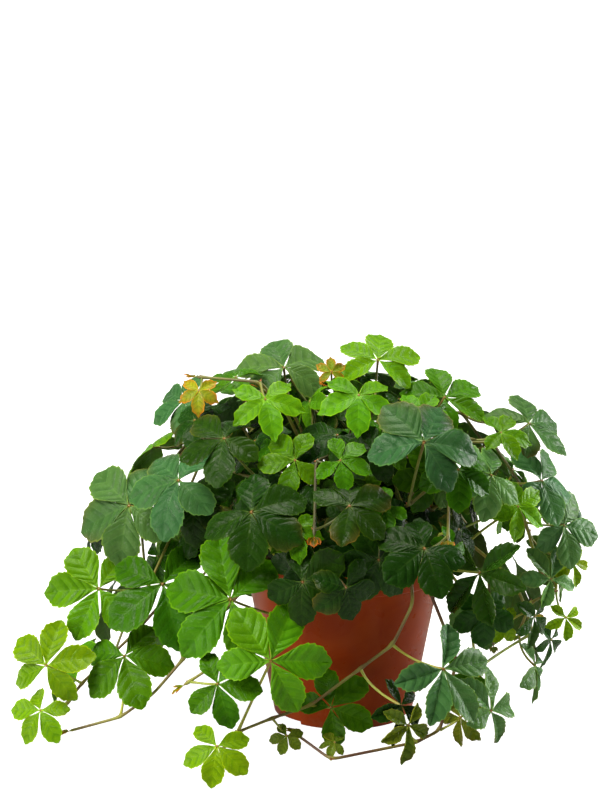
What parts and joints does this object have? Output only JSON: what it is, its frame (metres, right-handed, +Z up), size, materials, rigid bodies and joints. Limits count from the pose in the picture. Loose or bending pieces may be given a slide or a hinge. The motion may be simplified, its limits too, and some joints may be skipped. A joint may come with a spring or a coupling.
{
  "type": "potted miniature grape ivy",
  "caption": "A small trailing house plant with palmate leaves on arching and hanging shoots, rooted in potting soil in a round tapered plastic pot that stands on its base.",
  "frame": {"origin": "centre of the pot's foot ring, on the surface that the pot stands on", "axes": "+Z up; the pot's round axis is Z; -Y faces the viewer of the picture and +X is the picture's right"},
  "size_m": [0.3463, 0.3019, 0.2263],
  "materials": {
    "pot_plastic": "satin",
    "potting_soil": "crumbly, matt",
    "foliage": "waxy leaf"
  },
  "bodies": {
    "root": {"pot": "pot_plastic", "soil": "potting_soil", "left_runner": "foliage", "left_far": "foliage", "left_arch": "foliage", "front_left": "foliage", "front_runner": "foliage", "front_right": "foliage", "front_crown": "foliage", "front_face": "foliage", "front_heart": "foliage", "front_apron": "foliage", "right_face": "foliage", "right_low": "foliage", "right_trail": "foliage", "right_drop": "foliage", "right_crown": "foliage", "bright_crown": "foliage", "top": "foliage", "left_crown": "foliage", "left_top": "foliage", "left_face": "foliage", "left_side": "foliage", "back_1": "foliage", "back_2": "foliage", "back_3": "foliage", "back_4": "foliage", "back_5": "foliage", "back_6": "foliage", "back_7": "foliage", "back_8": "foliage", "inner_1": "foliage", "inner_2": "foliage", "inner_3": "foliage", "inner_4": "foliage", "inner_5": "foliage", "inner_6": "foliage"}
  },
  "joints": []
}
